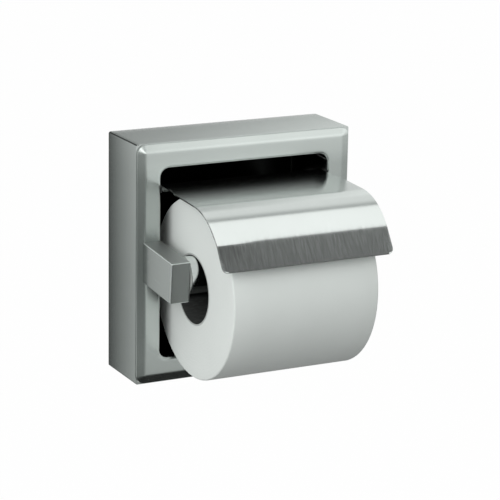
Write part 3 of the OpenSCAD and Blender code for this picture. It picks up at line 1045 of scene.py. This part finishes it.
@dataclass
class Hood:
    """Curved hood: one sheet from its hinge curl over the roll to its front lip."""

    width: float = 121.0
    sheet: float = 1.0
    fall: float = 2.165
    lip_fall: float = 56.57
    hinge_depth: float = 43.5
    hinge_z: float = 50.9517
    flat: float = 53.112
    bend_r: float = 42.624
    lip: float = 17.616
    corner: float = 4.0
    curl: Span = (-30.0, -270.0)
    curl_in_r: float = 1.55
    edge: float = 0.12
    ear: float = 16.5
    widen: float = 6.4
    over: float = 1.6
    waist: float = 0.4
    dent: float = 0.5
    dent_reach: float = 26.0
    dent_full: float = 6.0
    dent_spread: float = 5.0
    curl_steps: int = 39
    flat_steps: int = 27
    bend_steps: int = 48
    lip_steps: int = 14
    side_places: tuple[float, ...] = (0.0, 0.15, 0.4, 0.8, 1.3, 1.9, 2.6, 3.3, 4.0, 5.5, 8.0, 11.0,
                                      15.0, 20.0)
    middle_inset: float = 26.0
    middle_columns: int = 13
    piece: Piece = Piece("hood_sheet", "hood", Slot.STEEL, 40.0, "hood")

    def path(self) -> tuple[np.ndarray, np.ndarray, np.ndarray]:
        """Gives the sheet's middle line in its own plane.

        Returns:
            Points out from the hinge and up, their outward normals, and the run of the line up to each.
        """
        mid = self.curl_in_r + self.sheet / 2
        bend = self.lip_fall - self.fall
        down = math.radians(-bend)
        centre = (self.flat, self.curl_in_r + self.sheet - self.bend_r)
        spots = arc((0.0, 0.0), mid, *self.curl, self.curl_steps)
        spots += [(self.flat * t, mid) for t in np.linspace(0.0, 1.0, self.flat_steps + 1)[1:]]
        spots += arc(centre, self.bend_r - self.sheet / 2, 90.0, 90.0 - bend, self.bend_steps)[1:]
        out, up = spots[-1]
        for t in self.lip * np.linspace(0.0, 1.0, self.lip_steps + 1)[1:]:
            spots.append((out + t * math.cos(down), up + t * math.sin(down)))
        ways = np.radians(np.concatenate([
            np.linspace(*self.curl, self.curl_steps + 1), np.full(self.flat_steps, 90.0),
            np.linspace(90.0, 90.0 - bend, self.bend_steps + 1)[1:], np.full(self.lip_steps, 90.0 - bend)]))
        run = np.concatenate([[0.0], np.cumsum(np.hypot(*np.diff(spots, axis=0).T))])
        return np.array(spots), np.stack([np.cos(ways), np.sin(ways)], axis=1), run

    def columns(self) -> np.ndarray:
        """Gives the places across the hood, closer together near its sides."""
        side, half = np.array(self.side_places), self.width / 2
        inner = np.linspace(self.middle_inset - half, half - self.middle_inset, self.middle_columns)
        return np.concatenate([side - half, inner, (half - side)[::-1]])

    def surface(self, offset: float, inset: float) -> np.ndarray:
        """Gives one face of the sheet.

        Args:
            offset: distance from the middle of the sheet, outwards.
            inset: distance that the face stays inside the sheet's outline.

        Returns:
            Points, rows along the path and columns across.
        """
        spots, ways, run = self.path()
        half = self.width / 2
        lip_run = run[-1 - self.lip_steps]
        bend_run = math.radians(self.lip_fall - self.fall) * (self.bend_r - self.sheet / 2)
        from_hinge = run - (lip_run - bend_run - self.flat)
        widened = np.clip((from_hinge - self.ear) / self.widen, 0.0, 1.0)
        wide = half - self.waist - inset + (self.over + self.waist) * widened
        share = np.clip((run - lip_run) / (run[-1] - lip_run), 0.0, 1.0)
        sine, cosine = math.sin(math.radians(self.fall)), math.cos(math.radians(self.fall))
        columns = []
        for part in self.columns() / half:
            gap = max(0.0, self.corner - (wide[-1] - abs(part * wide[-1])))
            short = self.corner - math.sqrt(max(self.corner**2 - gap**2, 0.0)) + inset
            reach = run - share * short
            reach[0] = inset
            near = ((1.0 + part) * half - self.dent_reach) / (self.dent_full - self.dent_reach)
            near = min(max(near, 0.0), 1.0)
            swell = np.exp(-(((reach - lip_run) / self.dent_spread) ** 2))
            swell *= self.dent * near**2 * (3 - 2 * near)
            out = np.interp(reach, run, spots[:, 0]) + ways[:, 0] * (offset + swell)
            up = np.interp(reach, run, spots[:, 1]) + ways[:, 1] * (offset + swell)
            columns.append(np.stack([part * wide, -(self.hinge_depth + out * cosine + up * sine),
                                     self.hinge_z - out * sine + up * cosine], axis=1))
        return np.stack(columns, axis=1)

    def build(self, finishes: Finishes) -> None:
        """Builds the hood from its two faces and the edge between them.

        Args:
            finishes: the holder's finishes.
        """
        half = self.sheet / 2
        layers = [self.surface(half, self.edge), self.surface(half - self.edge, 0.0),
                  self.surface(self.edge - half, 0.0), self.surface(-half, self.edge)]
        run = self.path()[2]
        grain = np.stack(np.meshgrid(run, self.columns(), indexing="ij"), axis=-1)[..., ::-1]
        draft = Draft()
        draft.grid(layers[0], grain=grain)
        draft.grid(layers[3][:, ::-1], grain=grain[:, ::-1])
        for near, far in zip(layers, layers[1:]):
            for pick in (np.s_[0, :], np.s_[-1, :], np.s_[:, 0], np.s_[:, -1]):
                draft.grid(np.stack([near[pick], far[pick]]), grain=np.stack([grain[pick], grain[pick]]))
        draft.build(self.piece, finishes.hood)


@dataclass
class PaperRoll:
    """Full roll of paper on its core: wound body and wound edges on its ends."""

    radius: float = 60.5
    width: float = 105.6
    bore: float = 24.2
    edge: float = 1.2
    depth: float = 77.5
    height: float = -10.2
    uneven: float = 0.3
    uneven_scale: float = 30.0
    uneven_seed: float = 4.0
    steps: int = 224
    edge_steps: int = 4
    cuts: int = 5
    turns: float = 14.0
    turn_steps: int = 72
    thread: float = 0.05
    thread_steps: int = 5
    thread_inset: float = 1.6
    wound: Piece = Piece("paper_wound", "roll", Slot.TISSUE, 50.0, "paper_roll")
    threads: Piece = Piece("paper_windings", "roll", Slot.TISSUE, 60.0)

    def body(self, material: Material) -> None:
        """Grows the roll: a rounded section swept round a circle, faintly uneven as soft paper is.

        Args:
            material: its finish.
        """
        grow = Growth("roll_body")
        outer, bore, width, edge, uneven = grow.lengths(
            Outer_radius=self.radius, Bore_radius=self.bore, Width=self.width, Edge_radius=self.edge,
            Unevenness=self.uneven)
        middle, section = grow.band(outer, bore, width)
        path = grow.shape("GeometryNodeCurvePrimitiveCircle", Resolution=self.steps, Radius=middle)
        rounding = grow.math("MULTIPLY", edge, grow.math("GREATER_THAN", grow.here()["X"], 0.0))
        soft = grow.shape("GeometryNodeFilletCurve", {"mode": "POLY"}, Curve=section, Count=self.edge_steps,
                          Radius=rounding)
        fine = grow.shape("GeometryNodeSubdivideCurve", Curve=soft, Cuts=self.cuts)
        swept = grow.shape("GeometryNodeCurveToMesh", Curve=grow.upright(path), Profile_Curve=fine)
        place = grow.here()
        flat = grow.spot(place["X"], place["Y"], 0.0)
        noise = grow.shape("ShaderNodeTexNoise", {"noise_dimensions": "4D"}, Scale=self.uneven_scale,
                           W=grow.size("Seed", self.uneven_seed), Detail=2.0)
        reach = grow.math("SUBTRACT", grow.vector("LENGTH", "Value", Vector=flat), bore)
        share = grow.math("DIVIDE", reach, grow.math("SUBTRACT", outer, bore))
        sink = grow.math("MULTIPLY", grow.math("MULTIPLY", noise, uneven), grow.math("MULTIPLY", share, -1.0))
        way = grow.vector("NORMALIZE", "Vector", Vector=flat)
        shift = grow.vector("SCALE", "Vector", Vector=way, Scale=sink)
        moved = grow.shape("GeometryNodeSetPosition", Geometry=swept, Offset=shift)
        placed = grow.shape("GeometryNodeTransform", Geometry=moved, Rotation=(0.0, math.pi / 2, 0.0),
                            Translation=(0.0, -self.depth * MM, self.height * MM))
        grow.bake(placed, self.wound, material)

    def windings(self, material: Material) -> None:
        """Grows the wound edges that show on both ends: threads along a spiral.

        Args:
            material: their finish.
        """
        grow = Growth("roll_windings")
        first, last, half, thread = grow.lengths(
            First_radius=self.bore + self.thread_inset, Last_radius=self.radius - self.thread_inset,
            Half_width=self.width / 2 - self.thread / 2, Thread_radius=self.thread)
        spiral = grow.shape("GeometryNodeCurveSpiral", Resolution=self.turn_steps, Rotations=self.turns,
                            Start_Radius=first, End_Radius=last, Height=0.0)
        section = grow.shape("GeometryNodeCurvePrimitiveCircle", Resolution=self.thread_steps, Radius=thread)
        line = grow.shape("GeometryNodeCurveToMesh", Curve=spiral, Profile_Curve=section, Fill_Caps=True)
        both = grow.add("GeometryNodeJoinGeometry")
        for side in (-1.0, 1.0):
            spot = grow.spot(grow.math("MULTIPLY", half, side), -self.depth * MM, self.height * MM)
            end = grow.shape("GeometryNodeTransform", Geometry=line, Rotation=(0.0, side * math.pi / 2, 0.0),
                             Translation=spot)
            grow.feed(both.inputs[0], end)
        grow.bake(both.outputs[0], self.threads, material)

    def build(self, finishes: Finishes) -> None:
        """Builds the roll and dresses its core.

        Args:
            finishes: the holder's finishes.
        """
        self.body(finishes.tissue)
        self.windings(finishes.tissue_winding_shade)
        dress(("cardboard_core",), finishes.board)


@dataclass
class Posts:
    """Two solid bars with plates, bushes and screws, kept as CAD nodes, and split washers grown here."""

    across: float = 136.0
    pitch: float = 14.0
    depth: float = 43.62
    inner_r: float = 2.12
    outer_r: float = 3.6
    thickness: float = 0.88
    split: float = 10.0
    lift: float = 0.12
    steps: int = 48
    piece: Piece = Piece("split_washers", "frame", Slot.ZINC, 30.0, "lock_washers")

    def washers(self, material: Material) -> None:
        """Grows the four split washers: a flat bar wound once with a gap, copied to the screws.

        Args:
            material: their finish.
        """
        grow = Growth("lock_washers")
        inner, outer, thick, lift, across, pitch = grow.lengths(
            Inner_radius=self.inner_r, Outer_radius=self.outer_r, Thickness=self.thickness, Lift=self.lift,
            Distance_across=self.across, Screw_pitch=self.pitch)
        split = grow.size("Split angle", math.radians(self.split))
        middle, section = grow.band(outer, inner, grow.math("SUBTRACT", thick, lift))
        path = grow.shape("GeometryNodeCurveArc", Resolution=self.steps, Radius=middle,
                          Sweep_Angle=grow.math("SUBTRACT", 2 * math.pi, split))
        along = grow.add("GeometryNodeSplineParameter").outputs["Factor"]
        rise = grow.math("MULTIPLY", grow.math("SUBTRACT", along, 0.5), lift)
        wound = grow.shape("GeometryNodeSetPosition", Geometry=path, Offset=grow.spot(0.0, 0.0, rise))
        washer = grow.shape("GeometryNodeCurveToMesh", Curve=grow.upright(wound), Profile_Curve=section,
                            Fill_Caps=True)
        spots = grow.shape("GeometryNodeMeshGrid", Size_X=across, Size_Y=pitch, Vertices_X=2, Vertices_Y=2)
        copies = grow.shape("GeometryNodeInstanceOnPoints", Points=spots, Instance=washer)
        front = grow.math("SUBTRACT", -self.depth * MM, grow.math("MULTIPLY", thick, 0.5))
        turned = grow.shape("GeometryNodeTransform", Geometry=copies, Rotation=(math.pi / 2, 0.0, 0.0),
                            Translation=grow.spot(0.0, front, 0.0))
        grow.bake(turned, self.piece, material)

    def build(self, finishes: Finishes) -> None:
        """Dresses the bars and their fittings, and builds the washers.

        Args:
            finishes: the holder's finishes.
        """
        dress(("left_post", "right_post"), finishes.bar)
        dress(("left_backing_plate", "right_backing_plate", "post_screws"), finishes.zinc)
        dress(("left_post_bush", "right_post_bush"), finishes.dark_nylon)
        self.washers(finishes.zinc)


# Studio, in metres


def panel(name: str, centre: Triple, half: Triple, material: Material, hidden: tuple[str, ...]) -> None:
    """Puts a flat rectangle on the stage.

    Args:
        name: name of the object.
        centre: its centre.
        half: half of its size along each axis, with one zero.
        material: its material.
        hidden: kinds of rays that don't see it.
    """
    u, v = [i for i in range(3) if half[i]]
    corners = []
    for su, sv in ((-1, -1), (1, -1), (1, 1), (-1, 1)):
        spot = list(centre)
        spot[u] += su * half[u]
        spot[v] += sv * half[v]
        corners.append(spot)
    mesh = bpy.data.meshes.new(name)
    mesh.from_pydata(corners, [], [(0, 1, 2, 3)])
    mesh.materials.append(material)
    item = show(name, mesh)
    for rays in hidden:
        setattr(item, "visible_" + rays, False)


@dataclass
class Card:
    """A studio card that only reflections see, graded along two axes."""

    name: str
    centre: Triple
    half: Triple
    strength: float = 1.0
    axes: str = "ZX"
    first: Stops = EVEN
    second: Stops = EVEN

    def build(self) -> None:
        """Builds the card and hangs it on the stage."""
        bench = NodeBench(self.name)
        bench.tree.nodes.remove(bench.surface)
        spot = bench.parts("Object")
        first = bench.ramp(spot[self.axes[0]], self.first)
        colour = bench.product(first, bench.ramp(spot[self.axes[1]], self.second))
        glow = bench.add("ShaderNodeEmission", Color=colour, Strength=self.strength)
        bench.feed(bench.output.inputs["Surface"], glow.outputs[0])
        hidden = ("camera", "diffuse", "shadow", "transmission")
        panel(self.name, self.centre, self.half, bench.material, hidden)


CARDS = (
    Card("overhead_box", (0.5, -0.356, 0.9), (1.1, 0.394, 0.0), 1.16),
    Card("ceiling", (0.6, 1.365, 0.95), (1.7, 1.335, 0.0), axes="YX",
         first=((0.03, 0.38), (0.12, 0.46), (0.27, 0.86), (2.7, 0.86))),
    Card("front_flag", (0.5, -1.3, 1.27), (1.8, 0.0, 0.82), 0.115,
         second=((-1.3, 1.0), (0.83, 1.0), (0.97, 1.35), (2.3, 1.35))),
    Card("front_card", (0.3, -0.7, -0.13), (1.3, 0.0, 0.58),
         first=((-0.7, 0.03), (-0.42, 0.04), (-0.34, 0.22), (-0.31, 0.5), (-0.277, 0.75), (-0.242, 0.63),
                (-0.2, 0.42), (-0.165, 0.38), (-0.14, 0.64), (-0.12, 0.76), (0.0, 0.86), (0.19, 1.25),
                (0.28, 1.4), (0.32, 0.6), (0.45, 0.3)),
         second=((-1.0, 0.5), (-0.4, 0.45), (-0.2, 0.36), (-0.1, 0.335), (0.1, 0.63), (0.25, 1.04),
                 (1.6, 1.04))),
    Card("corner_glint", (-0.03, -0.69, 0.13), (0.085, 0.0, 0.08), 2.4),
    Card("corner_gap", (0.1, -0.69, 0.2), (0.045, 0.0, 0.05), 0.1),
    Card("left_flag", (-1.0, -0.42, 0.0), (0.0, 0.38, 0.7), 0.3, axes="ZY"),
    Card("low_card", (0.3, -0.01, -0.45), (1.2, 0.71, 0.0), axes="YX",
         first=((-0.72, 0.01), (-0.24, 0.01), (-0.16, 0.35), (-0.05, 0.35), (0.0, 0.2), (0.7, 0.2))),
    Card("recess_fill", (0.0, -0.0365, 0.0648), (0.062, 0.0105, 0.0), axes="YX",
         first=((-0.047, 0.4), (-0.0445, 0.2), (-0.0415, 0.12), (-0.0355, 0.09), (-0.034, 0.0),
                (-0.026, 0.0))),
    Card("left_halo", (-0.21, 0.01, -0.05), (0.13, 0.0, 0.3),
         first=((-0.4, 0.85), (-0.02, 0.92), (0.05, 1.05), (0.09, 1.35)),
         second=((-0.3, 0.6), (-0.125, 0.62), (-0.115, 0.58), (-0.106, 0.44), (-0.095, 0.27), (-0.084, 0.08),
                 (-0.08, 0.05))),
    Card("top_halo", (0.1, 0.01, 0.135), (0.25, 0.0, 0.05),
         first=((0.084, 0.42), (0.092, 0.62), (0.11, 0.78), (0.2, 0.8)),
         second=((-0.12, 0.34), (0.02, 0.8), (0.15, 1.22))),
)


@dataclass
class Studio:
    """Pale floor, white surround, soft lamp, cards and the camera."""

    floor_z: float = -0.6
    floor_half: float = 6.0
    floor_glow: float = 0.97
    below: float = 0.12
    above: float = 0.95
    soft_colour: Triple = (0.985, 1.0, 0.99)
    lamp_place: Triple = (-1.3, -0.8, 0.6)
    lamp_aim: Triple = (0.0, -0.06, 0.0)
    lamp_size: float = 1.0
    lamp_power: float = 11.0
    azimuth: float = -27.281
    elevation: float = 15.122
    roll: float = 1.031
    distance: float = 1.5343
    focal: float = 2183.0
    picture: float = 500.0
    sensor: float = 36.0
    target: Triple = (0.0286, 0.0, -0.0114)

    def surround(self) -> None:
        """Makes the world: white where it is seen or mirrored, soft light elsewhere."""
        world = bpy.data.worlds.new("surround")
        bpy.context.scene.world = world
        world.use_nodes = True
        sky = Graph(world.node_tree)
        sky.tree.nodes.clear()
        rays = sky.add("ShaderNodeLightPath").outputs
        seen = sky.math("MAXIMUM", rays["Is Camera Ray"], rays["Is Glossy Ray"])
        seen = sky.math("MAXIMUM", seen, rays["Is Transmission Ray"])
        level = sky.spread(sky.parts("Generated")["Z"], self.below, self.above, -1.0, 1.0)
        soft = sky.add("ShaderNodeBackground", Color=(*self.soft_colour, 1.0), Strength=level)
        white = sky.add("ShaderNodeBackground", Color=(*WHITE, 1.0))
        mix = sky.add("ShaderNodeMixShader", None, seen, soft.outputs[0], white.outputs[0])
        sky.add("ShaderNodeOutputWorld", Surface=mix.outputs[0])

    def floor(self) -> None:
        """Makes the pale floor, well below the wall-mounted holder."""
        bench = NodeBench("floor_paint")
        paint = bench.finish(Base_Color=(0.9, 0.9, 0.9, 1.0), Roughness=0.9, Specular_IOR_Level=0.1)
        rays = bench.add("ShaderNodeLightPath").outputs
        seen = bench.math("MULTIPLY", rays["Is Camera Ray"], self.floor_glow)
        glow = bench.add("ShaderNodeEmission", Strength=1.0)
        mix = bench.add("ShaderNodeMixShader", None, seen, bench.surface.outputs[0], glow.outputs[0])
        bench.feed(bench.output.inputs["Surface"], mix.outputs[0])
        half = (self.floor_half, self.floor_half, 0.0)
        panel("floor", (0.0, 0.0, self.floor_z), half, paint, ("diffuse",))

    def lamp(self) -> None:
        """Adds the soft lamp, which mirrors don't show."""
        data = bpy.data.lights.new("key", "AREA")
        data.shape = "SQUARE"
        data.size = self.lamp_size
        data.energy = self.lamp_power
        item = show("key", data)
        item.location = self.lamp_place
        aim = Vector(self.lamp_aim) - Vector(self.lamp_place)
        item.rotation_euler = aim.to_track_quat("-Z", "Y").to_euler()
        item.visible_glossy = False

    def camera(self) -> None:
        """Sets the camera at the photograph's angle."""
        data = bpy.data.cameras.new("camera")
        data.sensor_width = self.sensor
        data.lens = self.focal / self.picture * self.sensor
        item = show("camera", data)
        place = Matrix.Translation(self.target)
        for angle, axis in ((self.azimuth, "Z"), (90.0 - self.elevation, "X"), (self.roll, "Z")):
            place @= Matrix.Rotation(math.radians(angle), 4, axis)
        item.matrix_world = place @ Matrix.Translation((0.0, 0.0, self.distance))
        bpy.context.scene.camera = item

    def build(self) -> None:
        """Builds the whole studio."""
        self.surround()
        self.floor()
        for card in CARDS:
            card.build()
        self.lamp()
        self.camera()
        bpy.context.scene.view_settings.view_transform = "Standard"


def main() -> None:
    """Builds the holder and its studio."""
    logging.basicConfig(level=logging.INFO, format="%(name)s: %(message)s")
    finishes = Finishes()
    for part in (Collar(), Posts(), Hinge(), Roller(), PaperRoll(), FrontPan(), Hood()):
        part.build(finishes)
    Studio().build()


if __name__ == "__main__":
    main()
